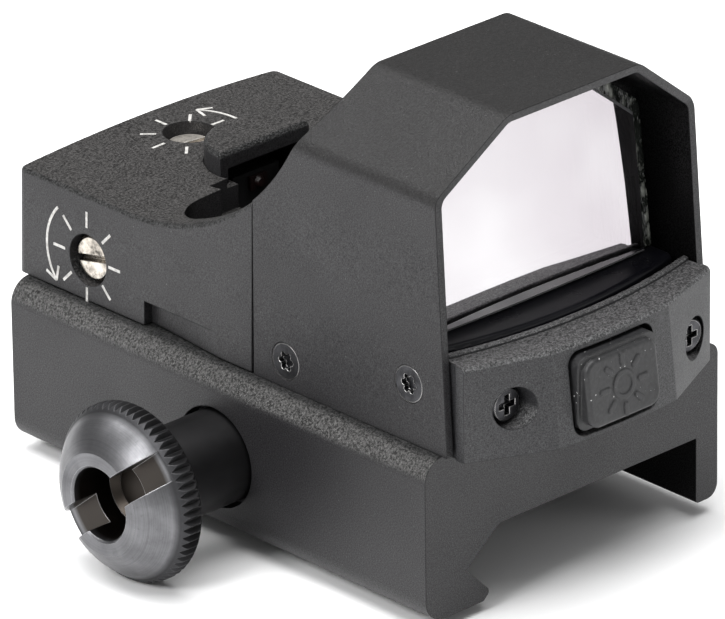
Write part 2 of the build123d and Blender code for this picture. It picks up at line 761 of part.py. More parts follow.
with BuildPart() as battery_contact_plus:
    with BuildSketch(Plane.XY.offset(base_top + 0.02)):
        with Locations(cell_centre):
            Circle(6.0)
            Circle(3.0, mode=Mode.SUBTRACT)
    extrude(amount=cell_bottom - base_top - 0.04)
battery_contact_plus.part.label = "battery_contact_plus"

with BuildPart() as battery_contact_minus:
    with BuildSketch(Plane.XY.offset(cell_top + 0.02)):
        with Locations(cell_centre):
            Circle(2.6)
            Circle(1.6, mode=Mode.SUBTRACT)
            with PolarLocations(3.6, 3):
                Rectangle(2.6, 1.2)
    extrude(amount=board_z - cell_top - 0.04)
battery_contact_minus.part.label = "battery_contact_minus"

with BuildPart() as control_board:
    with Locations((*cell_centre, board_z)):
        Cylinder(9.8, board_thickness, align=low)
control_board.part.label = "control_board"

with BuildPart() as driver_chip:
    with Locations((3, cell_centre[1], board_z + board_thickness)):
        Box(3.2, 3.2, 0.55, align=low)
driver_chip.part.label = "driver_chip"

# ---------------------------------------------------------------- adjusters
with BuildPart() as windage_screw:
    with Locations(facing((-11.95, windage_y, windage_z), (1, 0, 0))):
        Cylinder(head_radius, 1.4, align=low)
    chamfer(windage_screw.edges().sort_by(Axis.X)[0], 0.25)
    with Locations(facing((-11.0, windage_y, windage_z), (1, 0, 0))):
        Cylinder(screw_radius, 6.75, align=low)
    with BuildSketch(Plane(origin=(-11.95, windage_y, windage_z), x_dir=(0, 1, 0), z_dir=(-1, 0, 0))):
        Rectangle(5, 0.5, rotation=12)
    extrude(amount=-0.6, mode=Mode.SUBTRACT)
windage_screw.part.label = "windage_screw"

with BuildPart() as windage_clip:
    with BuildSketch(facing((-6.5, windage_y, windage_z), (1, 0, 0))):
        Circle(2.1)
        Circle(screw_radius + 0.01, mode=Mode.SUBTRACT)
    extrude(amount=0.4)
windage_clip.part.label = "windage_clip"

with BuildPart() as elevation_screw:
    with Locations((elevation_x, elevation_y, elevation_seat + 0.05)):
        Cylinder(head_radius, elevation_head_top - elevation_seat - 0.05, align=low)
    chamfer(elevation_screw.edges().sort_by(Axis.Z)[-1], 0.2)
    with Locations((elevation_x, elevation_y, 9.4)):
        Cylinder(screw_radius, 5.0, align=low)
    with BuildSketch(Plane.XY.offset(elevation_head_top)):
        with Locations((elevation_x, elevation_y)):
            Rectangle(5, 0.5, rotation=-8)
    extrude(amount=-0.55, mode=Mode.SUBTRACT)
elevation_screw.part.label = "elevation_screw"

with BuildPart() as elevation_clip:
    with BuildSketch(Plane.XY.offset(12.9)):
        with Locations((elevation_x, elevation_y)):
            Circle(2.1)
            Circle(screw_radius + 0.01, mode=Mode.SUBTRACT)
    extrude(amount=0.42)
elevation_clip.part.label = "elevation_clip"

yoke_front = 13.0
yoke_rear = 20.35
with BuildPart() as windage_yoke:
    with BuildSketch(front_view):
        with BuildLine():
            Polyline(
                (-5.4, 7.0), (4.8, 7.0), (4.8, 12.3), (3.6, 12.3),
                (3.6, 7.7), (-3.6, 7.7), (-3.6, 12.3), (-5.4, 12.3), close=True,
            )
        make_face()
    extrude(amount=yoke_rear, dir=(0, 1, 0))
    with Locations((0, yoke_front, 0)):
        Box(40, 40, 40, align=(Align.CENTER, Align.MAX, Align.CENTER), mode=Mode.SUBTRACT)
    with Locations(facing((-6, windage_y, windage_z), (1, 0, 0))):
        Cylinder(screw_radius + thread_gap, 4, align=low, mode=Mode.SUBTRACT)
    for y in pin_ys:
        with Locations((0, y, 6)):
            Cylinder(0.61, 3, align=low, mode=Mode.SUBTRACT)
windage_yoke.part.label = "windage_yoke"

with BuildPart() as guide_pins:
    for y in pin_ys:
        with Locations((0, y, 7.05)):
            Cylinder(0.6, 5.3, align=low)
guide_pins.part.label = "guide_pins"

with BuildPart() as emitter_carrier:
    with Locations((0, 12.2, 8.9)):
        Box(2 * arm_half, 8.05, 3.1, align=(Align.CENTER, Align.MIN, Align.MIN))
    with Locations((0, 11.1, 8.9)):
        Box(2 * emitter_half, 1.3, 5.1, align=(Align.CENTER, Align.MIN, Align.MIN))
    for y in pin_ys:
        with Locations((0, y, 8)):
            Cylinder(0.65, 6, align=low, mode=Mode.SUBTRACT)
    with BuildSketch(Plane.XY.offset(8)):
        with Locations((elevation_x, elevation_y)):
            SlotCenterToCenter(1.1, 2.7)
    extrude(amount=6, mode=Mode.SUBTRACT)
    with Locations((elevation_x, elevation_y, 10.6)):
        Box(20, 3.4, 1.5, mode=Mode.SUBTRACT)
emitter_carrier.part.label = "emitter_carrier"

with BuildPart() as elevation_nut:
    with Locations((elevation_x, elevation_y, 10.6)):
        Box(3.4, 3.2, 1.3)
    with Locations((elevation_x, elevation_y, 10.6)):
        Cylinder(screw_radius + thread_gap, 3, mode=Mode.SUBTRACT)
elevation_nut.part.label = "elevation_nut"

with BuildPart() as emitter_board:
    with Locations((0, 11.08, 11.6)):
        Box(2 * emitter_half, 0.5, 2.6, align=(Align.CENTER, Align.MAX, Align.MIN))
emitter_board.part.label = "emitter_board"

with BuildPart() as led_emitter:
    with Locations((0, 10.56, 13.4)):
        Box(1.6, 0.3, 1.0, align=(Align.CENTER, Align.MAX, Align.CENTER))
    with Locations(facing((0, 10.26, 13.4), (0, -1, 0))):
        Cone(0.45, 0.3, 0.25, align=low)
led_emitter.part.label = "led_emitter"

spring_radius = 0.92
with BuildPart() as elevation_spring:
    with BuildLine():
        coil = Helix(pitch=0.36, height=0.9, radius=spring_radius, center=(0, pin_ys[0], 7.84))
    with BuildSketch(Plane(origin=coil @ 0, z_dir=coil % 0)):
        Circle(0.11)
    sweep(path=coil)
elevation_spring.part.label = "elevation_spring"

for node in (
    rail_base, clamp_jaw, cross_bolt, thumb_nut, sight_body, hood, front_bar, rubber_button,
    switch_plunger, tact_switch, lens, lens_adhesive, lens_gasket, led_shroud, hood_screws,
    bar_screws, body_screws, locating_pins, base_gasket, coin_cell, battery_contact_plus,
    battery_contact_minus, control_board, driver_chip, windage_screw, windage_clip,
    elevation_screw, elevation_clip, windage_yoke, guide_pins, emitter_carrier, elevation_nut,
    emitter_board, led_emitter, elevation_spring,
):
    export_step(node.part, f"parts/{node.part.label}.step")
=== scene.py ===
"""Looks of a mini reflex red dot finder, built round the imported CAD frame.  Units are metres."""
import json
import math

import bmesh
import bpy
from mathutils import Matrix, Vector


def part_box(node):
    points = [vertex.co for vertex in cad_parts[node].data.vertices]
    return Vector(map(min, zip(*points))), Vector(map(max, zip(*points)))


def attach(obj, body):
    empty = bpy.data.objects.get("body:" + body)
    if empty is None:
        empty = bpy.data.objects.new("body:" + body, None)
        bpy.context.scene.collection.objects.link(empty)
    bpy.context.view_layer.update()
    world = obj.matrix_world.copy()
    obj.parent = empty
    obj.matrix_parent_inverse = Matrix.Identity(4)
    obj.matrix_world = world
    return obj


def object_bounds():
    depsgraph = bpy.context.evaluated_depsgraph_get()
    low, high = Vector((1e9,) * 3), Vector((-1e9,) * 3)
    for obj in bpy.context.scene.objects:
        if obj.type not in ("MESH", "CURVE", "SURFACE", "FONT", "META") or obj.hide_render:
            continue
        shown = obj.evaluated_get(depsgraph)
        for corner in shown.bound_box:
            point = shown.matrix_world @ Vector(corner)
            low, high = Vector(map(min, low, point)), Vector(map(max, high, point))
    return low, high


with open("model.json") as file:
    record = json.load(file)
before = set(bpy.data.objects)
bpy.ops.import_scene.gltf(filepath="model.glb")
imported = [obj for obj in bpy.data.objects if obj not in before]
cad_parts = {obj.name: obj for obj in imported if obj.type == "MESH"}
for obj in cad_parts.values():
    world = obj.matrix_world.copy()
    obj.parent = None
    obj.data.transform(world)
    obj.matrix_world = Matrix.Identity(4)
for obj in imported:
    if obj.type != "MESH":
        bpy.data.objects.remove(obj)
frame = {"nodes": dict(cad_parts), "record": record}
cad_low, cad_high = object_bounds()
MM = 0.001

# ---------------------------------------------------------------- places read from the frame
body_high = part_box("sight_body")[1]
hood_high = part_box("hood")[1]
base_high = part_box("rail_base")[1]
lens_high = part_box("lens")[1]
nut_low, nut_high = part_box("thumb_nut")
windage_centre = [(low + high) / 2 for low, high in zip(*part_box("windage_screw"))]
elevation_centre = [(low + high) / 2 for low, high in zip(*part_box("elevation_screw"))]

WALL_HALF_WIDTH = body_high[0]          # half width of the body at the base's top
WALL_FOOT = base_high[2]
WALL_DRAFT = math.radians(1.4)          # lean of the body's side walls
DECK_TOP = 15.3 * MM                    # height of the crowned deck on the centre line
CROWN_RADIUS = 147.9 * MM               # radius of the deck's crown
LENS_TILT = math.radians(7.0)           # lean of the lens's faces from upright
NUT_AXIS_Z = 0.25 * MM                  # height of the clamp bolt's axis
NUT_FRONT_X = nut_low[0]
NUT_BACK_X = NUT_FRONT_X + 4.15 * MM    # back of the knurled head
NUT_RADIUS = (nut_high[2] - nut_low[2]) / 2
NUT_FACE_RADIUS = 3.7 * MM              # where the flat front face ends and the dome starts
NUT_DOME_DEPTH = 2.5 * MM


# ---------------------------------------------------------------- node helpers
# the Mix node has sockets of every type, told apart by number
MIX_VALUES = (2, 3)
MIX_COLOURS = (6, 7)
MIX_VALUE_OUT = 0
MIX_COLOUR_OUT = 2
BEVEL_SAMPLES = 6
OPEN_FACE = 0.995                       # how closely the softened normal follows an open face
SHARP_EDGE = 0.90                       # and how closely it does on a sharp edge


def new_material(name):
    """A node material with only an output and a Principled shader."""
    material = bpy.data.materials.new(name)
    material.use_nodes = True
    tree = material.node_tree
    return material, tree, tree.nodes["Principled BSDF"]


def feed(tree, shader, sources):
    """Links each source to the shader's input of that name."""
    for name, source in sources.items():
        tree.links.new(source, shader.inputs[name])


def grey(value):
    """A colour without a hue."""
    return value, value, value


def object_place(tree):
    """Output of the piece's own coordinates, in metres."""
    return tree.nodes.new("ShaderNodeTexCoord").outputs["Object"]


def face_normal(tree):
    """Output of the direction that a face looks in."""
    return tree.nodes.new("ShaderNodeNewGeometry").outputs["Normal"]


def split_xyz(tree, vector):
    """The outputs X, Y and Z of a vector."""
    node = tree.nodes.new("ShaderNodeSeparateXYZ")
    tree.links.new(vector, node.inputs[0])
    return node.outputs


def noise(tree, place, scale, detail=2.0, roughness=0.5):
    """Noise of a given number of features to the metre."""
    texture = tree.nodes.new("ShaderNodeTexNoise")
    texture.inputs["Scale"].default_value = scale
    texture.inputs["Detail"].default_value = detail
    texture.inputs["Roughness"].default_value = roughness
    tree.links.new(place, texture.inputs["Vector"])
    return texture.outputs["Fac"]


def ramp(tree, value, low, high, out_low=0.0, out_high=1.0):
    """Maps low..high of a value to out_low..out_high, clamped."""
    node = tree.nodes.new("ShaderNodeMapRange")
    node.inputs["From Min"].default_value = low
    node.inputs["From Max"].default_value = high
    node.inputs["To Min"].default_value = out_low
    node.inputs["To Max"].default_value = out_high
    tree.links.new(value, node.inputs["Value"])
    return node.outputs["Result"]


def maths(tree, operation, first, second=None):
    """One arithmetic step; the second value may be a number or a socket, and some steps have none."""
    node = tree.nodes.new("ShaderNodeMath")
    node.operation = operation
    tree.links.new(first, node.inputs[0])
    if isinstance(second, (int, float)):
        node.inputs[1].default_value = second
    elif second is not None:
        tree.links.new(second, node.inputs[1])
    return node.outputs[0]


def dot_product(tree, first, second):
    """Dot product of two vectors; the second may be a tuple or a socket."""
    node = tree.nodes.new("ShaderNodeVectorMath")
    node.operation = "DOT_PRODUCT"
    tree.links.new(first, node.inputs[0])
    if isinstance(second, tuple):
        node.inputs[1].default_value = second
    else:
        tree.links.new(second, node.inputs[1])
    return node.outputs["Value"]


def mix_colour(tree, factor, first, second):
    """Mixes two colours, each a tuple or a socket."""
    node = tree.nodes.new("ShaderNodeMix")
    node.data_type = "RGBA"
    tree.links.new(factor, node.inputs[0])
    for value, number in zip((first, second), MIX_COLOURS):
        if isinstance(value, tuple):
            node.inputs[number].default_value = (*value, 1.0)
        else:
            tree.links.new(value, node.inputs[number])
    return node.outputs[MIX_COLOUR_OUT]


def mix_value(tree, factor, first, second):
    """Mixes two sockets by a factor."""
    node = tree.nodes.new("ShaderNodeMix")
    tree.links.new(factor, node.inputs[0])
    for value, number in zip((first, second), MIX_VALUES):
        tree.links.new(value, node.inputs[number])
    return node.outputs[MIX_VALUE_OUT]


def scale_colour(tree, colour, factor):
    """A colour made darker or lighter by a factor."""
    node = tree.nodes.new("ShaderNodeVectorMath")
    node.operation = "SCALE"
    tree.links.new(colour, node.inputs[0])
    tree.links.new(factor, node.inputs["Scale"])
    return node.outputs[0]


def rounded_normal(tree, radius):
    """Shading normal with edges softened to a radius."""
    node = tree.nodes.new("ShaderNodeBevel")
    node.samples = BEVEL_SAMPLES
    node.inputs["Radius"].default_value = radius
    return node.outputs["Normal"]


def edge_mask(tree, radius):
    """1 near sharp edges, 0 on open faces."""
    closeness = dot_product(tree, rounded_normal(tree, radius), face_normal(tree))
    return ramp(tree, closeness, OPEN_FACE, SHARP_EDGE)


def bump(tree, height, normal, depth, strength=1.0):
    """Bump of a depth in metres, laid over a normal."""
    node = tree.nodes.new("ShaderNodeBump")
    node.inputs["Strength"].default_value = strength
    node.inputs["Distance"].default_value = depth
    tree.links.new(height, node.inputs["Height"])
    if normal is not None:
        tree.links.new(normal, node.inputs["Normal"])
    return node.outputs["Normal"]


def upward(tree, low, high):
    """1 on faces that look up, 0 on walls; low and high are the limits of the normal's rise."""
    return ramp(tree, split_xyz(tree, face_normal(tree))["Z"], low, high)


def inward(tree, place):
    """1 on side faces that look back towards the middle plane, 0 on outer faces."""
    normal_x = split_xyz(tree, face_normal(tree))["X"]
    place_x = split_xyz(tree, place)["X"]
    outward_distance = maths(tree, "MULTIPLY", normal_x, place_x)
    return ramp(tree, outward_distance, -4.0 * MM, -1.0 * MM, 1.0, 0.0)


# ---------------------------------------------------------------- materials
WALL_GRAIN_DEPTH = 0.012 * MM           # depth of the blasted grain on upright faces
EDGE_SHADE = grey(0.002)                # painted shade: a broken dark line along the blasted parts' edges
INNER_SHADE = grey(0.0015)              # painted shade on blasted faces that look back at the middle plane
GLINT = grey(0.42)
DUST = grey(0.6)
KNURL_BLACK = (0.035, 0.035, 0.037)
RUBBED_STEEL = (0.55, 0.55, 0.56)
RUBBED_PLATING = (0.8, 0.79, 0.77)
RING_STRETCH = 5.0                      # how much closer the lathe's rings lie than the noise's scale
# lilac coat tint with a painted reflection: brighter and whiter at the left
COAT_LEFT = (0.655, 0.640, 0.655)
COAT_RIGHT = (0.515, 0.480, 0.508)


def speckled(tree, place, base, facing_up, grain, fine, contrast):
    """A colour with a leathery mottle on what looks up, a fine speckle and a few glints."""
    quiet = ramp(tree, grain, 0.30, 0.70, 0.9, 1.1)
    leathery = ramp(tree, grain, 0.36, 0.64, 1.0 - contrast, 1.0 + contrast)
    tone = scale_colour(tree, base, mix_value(tree, facing_up, quiet, leathery))
    tone = scale_colour(tree, tone, ramp(tree, fine, 0.34, 0.66, 0.35, 1.75))
    speck = noise(tree, place, 6500, 1.0, 0.5)
    return mix_colour(tree, ramp(tree, speck, 0.74, 0.80, 0.0, 0.16), tone, GLINT)


def blasted_anodised(name, wall, slant, top, contrast, top_depth, roughness=0.46, gloss=0.42):
    """Blasted black: quiet walls, slants and tops made lighter or darker with painted light and shade, and
    leathery sparkling grain on what looks up.
    """
    material, tree, shader = new_material(name)
    place = object_place(tree)
    facing_up = upward(tree, 0.10, 0.35)
    level = upward(tree, 0.86, 0.97)
    inner = inward(tree, place)
    grain = noise(tree, place, 5800, 2.0, 0.6)
    fine = noise(tree, place, 11000, 2.0, 0.6)
    cloud = noise(tree, place, 160, 3.0, 0.6)

    # painted light and shade: walls, slants and tops each get their own tone from the way they face
    base = mix_colour(tree, facing_up, wall, mix_colour(tree, level, slant, top))
    tone = speckled(tree, place, base, facing_up, grain, fine, contrast)
    # painted shade along sharp edges, broken by the fine noise
    edges = maths(tree, "MULTIPLY", edge_mask(tree, 0.10 * MM), ramp(tree, fine, 0.42, 0.56, 0.2, 0.85))
    tone = mix_colour(tree, edges, tone, EDGE_SHADE)
    # painted shade on the inner faces
    tone = mix_colour(tree, maths(tree, "MULTIPLY", inner, 0.85), tone, INNER_SHADE)

    wall_sheen = ramp(tree, fine, 0.3, 0.7, gloss - 0.12, gloss + 0.12)
    top_sheen = ramp(tree, grain, 0.36, 0.64, gloss - 0.35 * contrast, gloss + 0.35 * contrast)
    sheen = mix_value(tree, facing_up, wall_sheen, top_sheen)
    shadow = maths(tree, "MAXIMUM", edges, maths(tree, "MULTIPLY", inner, 0.8))
    sheen = maths(tree, "SUBTRACT", sheen, maths(tree, "MULTIPLY", shadow, 0.36))

    # the height is already in metres, so the bump's own depth is 1
    depth = maths(tree, "MULTIPLY", facing_up, top_depth - WALL_GRAIN_DEPTH)
    depth = maths(tree, "ADD", depth, WALL_GRAIN_DEPTH)
    height = maths(tree, "MULTIPLY", maths(tree, "ADD", grain, fine), depth)
    feed(tree, shader, {
        "Base Color": tone,
        "Roughness": ramp(tree, cloud, 0.3, 0.7, roughness - 0.04, roughness + 0.06),
        "Specular IOR Level": sheen,
        "Normal": bump(tree, height, rounded_normal(tree, 0.12 * MM), 1.0),
    })
    return material


def moulded(name, colour, grain_scale, depth, roughness, specks):
    """Moulded rubber with a fine grain and a few light specks."""
    material, tree, shader = new_material(name)
    place = object_place(tree)
    grain = noise(tree, place, grain_scale, 3.0, 0.6)
    cloud = noise(tree, place, 210, 3.0, 0.6)
    speck = noise(tree, place, 4300, 1.0, 0.5)
    darker = tuple(0.72 * channel for channel in colour)
    lighter = tuple(1.35 * channel for channel in colour)
    base = mix_colour(tree, ramp(tree, grain, 0.36, 0.66), darker, lighter)
    dust = ramp(tree, speck, 0.745, 0.775, 0.0, specks)
    feed(tree, shader, {
        "Base Color": mix_colour(tree, dust, base, DUST),
        "Roughness": ramp(tree, cloud, 0.3, 0.7, roughness - 0.06, roughness + 0.08),
        "Normal": bump(tree, grain, rounded_normal(tree, 0.2 * MM), depth),
    })
    return material


def nut_masks(tree, along, radius):
    """Two masks for the thumb nut: in its slot and mouth, and on its knurled rim and barrel."""
    # how far a point lies behind the dome's own outline: the slot and the mouth are deep, the dome isn't
    dome = ramp(tree, radius, NUT_FACE_RADIUS, NUT_RADIUS, 0.0, NUT_DOME_DEPTH)
    depth = maths(tree, "SUBTRACT", along, dome)
    inside = ramp(tree, depth, NUT_FRONT_X + 0.30 * MM, NUT_FRONT_X + 0.75 * MM)
    rim = ramp(tree, radius, NUT_RADIUS - 0.75 * MM, NUT_RADIUS - 0.45 * MM)
    behind = ramp(tree, along, NUT_BACK_X - 0.3 * MM, NUT_BACK_X)
    return inside, maths(tree, "MAXIMUM", rim, behind)


def lathe_rings(tree, along, radius):
    """Noise that changes with the radius and along the axis, but not round it."""
    rings_place = tree.nodes.new("ShaderNodeCombineXYZ")
    for value, axis in ((radius, "X"), (along, "Y")):
        tree.links.new(maths(tree, "MULTIPLY", value, RING_STRETCH), rings_place.inputs[axis])
    return noise(tree, rings_place.outputs[0], 1700, 3.0, 0.7)


def turned_steel(name, bright, dark, patina_and_shade, roughness):
    """Thumb nut: lathe-turned dome, dark knurled rim and barrel, brown patina and painted shade in the slot
    and mouth.
    """
    material, tree, shader = new_material(name)
    place = object_place(tree)
    spot = split_xyz(tree, place)
    off_z = maths(tree, "SUBTRACT", spot["Z"], NUT_AXIS_Z)
    y_squared = maths(tree, "MULTIPLY", spot["Y"], spot["Y"])
    z_squared = maths(tree, "MULTIPLY", off_z, off_z)
    radius = maths(tree, "SQRT", maths(tree, "ADD", y_squared, z_squared))
    inside, outer = nut_masks(tree, spot["X"], radius)
    rings = lathe_rings(tree, spot["X"], radius)
    blotch = noise(tree, place, 330, 4.0, 0.65)
    scratch = noise(tree, place, 2600, 4.0, 0.75)

    tone = mix_colour(tree, ramp(tree, blotch, 0.35, 0.62, 0.45, 0.0), bright, dark)
    tone = mix_colour(tree, ramp(tree, rings, 0.45, 0.70, 0.0, 0.35), tone, dark)
    tone = mix_colour(tree, ramp(tree, scratch, 0.58, 0.78, 0.0, 0.45), tone, dark)
    # brown patina and painted shade in the slot and the mouth
    tone = mix_colour(tree, inside, tone, patina_and_shade)
    tone = mix_colour(tree, maths(tree, "MULTIPLY", outer, 0.88), tone, KNURL_BLACK)
    wear = ramp(tree, outer, 0.0, 1.0, 0.40, 0.06)
    tone = mix_colour(tree, maths(tree, "MULTIPLY", edge_mask(tree, 0.12 * MM), wear), tone, RUBBED_STEEL)

    rough = ramp(tree, blotch, 0.3, 0.7, roughness + 0.08, roughness - 0.04)
    feed(tree, shader, {
        "Base Color": tone,
        "Roughness": maths(tree, "ADD", rough, maths(tree, "MULTIPLY", outer, 0.14)),
        "Normal": bump(tree, rings, rounded_normal(tree, 0.1 * MM), 0.007 * MM, 0.8),
    })
    shader.inputs["Metallic"].default_value = 1.0
    return material


def plain_metal(name, colour, roughness, wear=0.3, smudge_scale=900, dark_share=0.45):
    """Small plated or blackened steel parts with smudges and rubbed edges."""
    material, tree, shader = new_material(name)
    smudge = noise(tree, object_place(tree), smudge_scale, 4.0, 0.65)
    dark = tuple(dark_share * channel for channel in colour)
    tone = mix_colour(tree, ramp(tree, smudge, 0.34, 0.60), dark, colour)
    edges = maths(tree, "MULTIPLY", edge_mask(tree, 0.1 * MM), wear)
    feed(tree, shader, {
        "Base Color": mix_colour(tree, edges, tone, RUBBED_PLATING),
        "Roughness": ramp(tree, smudge, 0.3, 0.7, roughness + 0.15, roughness),
        "Normal": bump(tree, smudge, rounded_normal(tree, 0.1 * MM), 0.01 * MM, 0.5),
    })
    shader.inputs["Metallic"].default_value = 1.0
    return material


def coated_glass():
    """Lens with a bright lilac coat and a painted reflection, whiter and brighter at the left, and a ground
    edge.
    """
    material, tree, shader = new_material("coated_glass")
    place = object_place(tree)
    drift = noise(tree, place, 75, 2.0, 0.5)
    # painted reflection: the coat brighter and whiter towards the left, with a slow drift
    across = ramp(tree, split_xyz(tree, place)["X"], -5.0 * MM, 9.0 * MM, 0.0, 0.7)
    sweep = maths(tree, "ADD", across, ramp(tree, drift, 0.46, 0.60, 0.0, 0.4))
    tint = mix_colour(tree, sweep, COAT_LEFT, COAT_RIGHT)
    # the ground edge faces away from both polished faces
    lens_axis = (0.0, -math.cos(LENS_TILT), math.sin(LENS_TILT))
    along = maths(tree, "ABSOLUTE", dot_product(tree, face_normal(tree), lens_axis))
    polished = ramp(tree, along, 0.95, 0.985)
    frost = noise(tree, place, 5200, 2.0, 0.6)
    ground = mix_colour(tree, frost, (0.16, 0.165, 0.17), (0.42, 0.42, 0.43))
    feed(tree, shader, {
        "Base Color": mix_colour(tree, polished, ground, tint),
        "Metallic": polished,
        "Roughness": ramp(tree, polished, 0.0, 1.0, 0.45, 0.025),
    })
    shader.inputs["Alpha"].default_value = 0.88
    return material


def clear_adhesive():
    """Clear set adhesive: glossy, greenish grey, drawn out in streaks along the bead."""
    material, tree, shader = new_material("clear_adhesive")
    place = object_place(tree)
    streaked = tree.nodes.new("ShaderNodeMapping")
    streaked.inputs["Scale"].default_value = (1.0, 2.6, 0.28)
    tree.links.new(place, streaked.inputs["Vector"])
    streaks = noise(tree, streaked.outputs["Vector"], 1500, 3.0, 0.6)
    lumps = noise(tree, place, 620, 2.0, 0.5)
    height = maths(tree, "ADD", streaks, lumps)
    milkiness = ramp(tree, streaks, 0.50, 0.66)
    feed(tree, shader, {
        "Base Color": mix_colour(tree, milkiness, (0.012, 0.014, 0.012), (0.30, 0.31, 0.28)),
        "Normal": bump(tree, height, rounded_normal(tree, 0.3 * MM), 0.30 * MM),
    })
    shader.inputs["Roughness"].default_value = 0.08
    shader.inputs["IOR"].default_value = 1.48
    shader.inputs["Coat Weight"].default_value = 0.5
    return material


def glossy_black(name, roughness):
    """Smooth black rubber or foam seal."""
    material, tree, shader = new_material(name)
    cloud = noise(tree, object_place(tree), 300, 3.0, 0.5)
    feed(tree, shader, {
        "Base Color": mix_colour(tree, cloud, (0.002, 0.002, 0.003), (0.005, 0.005, 0.007)),
        "Roughness": ramp(tree, cloud, 0.3, 0.7, roughness, roughness + 0.12),
        "Normal": bump(tree, cloud, rounded_normal(tree, 0.1 * MM), 0.02 * MM, 0.5),
    })
    shader.inputs["Specular IOR Level"].default_value = 0.2
    return material


def white_paint():
    """Off-white paint filled into engraved marks, slightly patchy."""
    material, tree, shader = new_material("white_paint")
    patch = noise(tree, object_place(tree), 3500, 3.0, 0.6)
    patchiness = ramp(tree, patch, 0.35, 0.6)
    feed(tree, shader, {
        "Base Color": mix_colour(tree, patchiness, (0.34, 0.33, 0.315), (0.56, 0.55, 0.53)),
        "Normal": bump(tree, patch, None, 0.01 * MM, 0.5),
    })
    shader.inputs["Roughness"].default_value = 0.55
    return material


def coloured_plastic(name, low, high, roughness):
    """Plain coloured plastic or resist for inner parts."""
    material, tree, shader = new_material(name)
    cloud = noise(tree, object_place(tree), 900, 3.0, 0.55)
    feed(tree, shader, {
        "Base Color": mix_colour(tree, ramp(tree, cloud, 0.35, 0.65), low, high),
        "Roughness": ramp(tree, cloud, 0.3, 0.7, roughness, roughness + 0.1),
    })
    return material


WALL_BLACK = (0.0140, 0.0135, 0.0146)
# painted light: tops lighter and slants darker than the walls, from how the light falls on the body
anodised = blasted_anodised(
    "anodised_black", wall=WALL_BLACK, slant=grey(0.008), top=(0.0250, 0.0233, 0.0226),
    contrast=0.65, top_depth=0.12 * MM)
# painted shade: the hood's slants and top darker than its walls
hood_anodised_painted_shade = blasted_anodised(
    "hood_black", wall=WALL_BLACK, slant=(0.009, 0.0085, 0.0087), top=(0.011, 0.0105, 0.0105),
    contrast=0.15, top_depth=0.03 * MM, gloss=0.38)
# painted highlight on the base's rounded top edges (its slants) and painted shade on its flat top beside the
# body
base_anodised_painted_light = blasted_anodised(
    "base_black", wall=WALL_BLACK, slant=(0.048, 0.047, 0.046), top=grey(0.010),
    contrast=0.65, top_depth=0.12 * MM, roughness=0.44, gloss=0.40)
# painted sheen: the bar's top and slants much lighter than its walls
bar_plastic = blasted_anodised(
    "bar_black", wall=(0.0185, 0.0185, 0.0200), slant=(0.060, 0.060, 0.061), top=(0.060, 0.059, 0.060),
    contrast=0.60, top_depth=0.09 * MM, gloss=0.46)
button_rubber = moulded(
    "button_rubber", (0.014, 0.014, 0.015), grain_scale=3600, depth=0.03 * MM, roughness=0.5, specks=0.8)
gunmetal = turned_steel(
    "gunmetal_steel", bright=(0.175, 0.175, 0.183), dark=(0.055, 0.055, 0.058),
    patina_and_shade=(0.034, 0.029, 0.025), roughness=0.36)
black_screw = plain_metal("black_screw_steel", (0.075, 0.075, 0.08), 0.28, wear=0.5)
nickel = plain_metal(
    "nickel_brass", (0.72, 0.66, 0.58), 0.14, wear=0.5, smudge_scale=1100, dark_share=0.12)
# painted highlight: a lighter copy of the nickel for the elevation screw, which looks up into the light
nickel_painted_highlight = plain_metal(
    "nickel_painted_highlight", (0.88, 0.83, 0.76), 0.40, wear=0.5, smudge_scale=1300, dark_share=0.35)
spring_steel = plain_metal("spring_steel", (0.55, 0.55, 0.56), 0.25)
cell_steel = plain_metal("cell_steel", (0.70, 0.70, 0.71), 0.28)
contact_brass = plain_metal("contact_brass", (0.72, 0.55, 0.30), 0.25)
lens_glass = coated_glass()
adhesive = clear_adhesive()
seal_black = glossy_black("seal_black", 0.26)
marks_paint = white_paint()
board_green = coloured_plastic("board_green", (0.01, 0.09, 0.03), (0.02, 0.15, 0.06), 0.35)
inner_black = coloured_plastic("inner_black", (0.004, 0.004, 0.0045), (0.010, 0.010, 0.011), 0.5)
# dark red LED, darkened further as painted shade under the lip
led_red = coloured_plastic("led_red", (0.006, 0.002, 0.002), (0.012, 0.003, 0.003), 0.35)

FINISHES = {
    "black_anodised": anodised,
    "bar_plastic": bar_plastic,
    "button_rubber": button_rubber,
    "coated_glass": lens_glass,
    "clear_bead": adhesive,
    "black_rubber": seal_black,
    "gunmetal_steel": gunmetal,
    "black_screw_steel": black_screw,
    "nickel_brass": nickel,
    "spring_steel": spring_steel,
    "cell_steel": cell_steel,
    "contact_brass": contact_brass,
    "board_green": board_green,
    "chip_black": inner_black,
    "inner_plastic": inner_black,
    "red_led": led_red,
}


def dress(node, material):
    """Gives a CAD node one material on all its slots."""
    piece = frame["nodes"][node]
    if not piece.material_slots:
        piece.data.materials.append(material)
    for slot in piece.material_slots:
        slot.material = material


for entry in frame["record"]["subparts"]:
    dress(entry["node"], FINISHES[entry["material_slot"]])
# the hood and the base get copies of the black anodising with their own painted light and shade
dress("hood", hood_anodised_painted_shade)
dress("rail_base", base_anodised_painted_light)
# the elevation screw gets the lighter copy of the nickel, a painted highlight
dress("elevation_screw", nickel_painted_highlight)


def ride_with_sight(mesh, name, material):
    """Closes a drawn mesh into a piece of one material that rides on the sight."""
    bmesh.ops.recalc_face_normals(mesh, faces=mesh.faces)
    data = bpy.data.meshes.new(name)
    mesh.to_mesh(data)
    mesh.free()
    data.materials.append(material)
    piece = bpy.data.objects.new(name, data)
    bpy.context.collection.objects.link(piece)
    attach(piece, "sight")


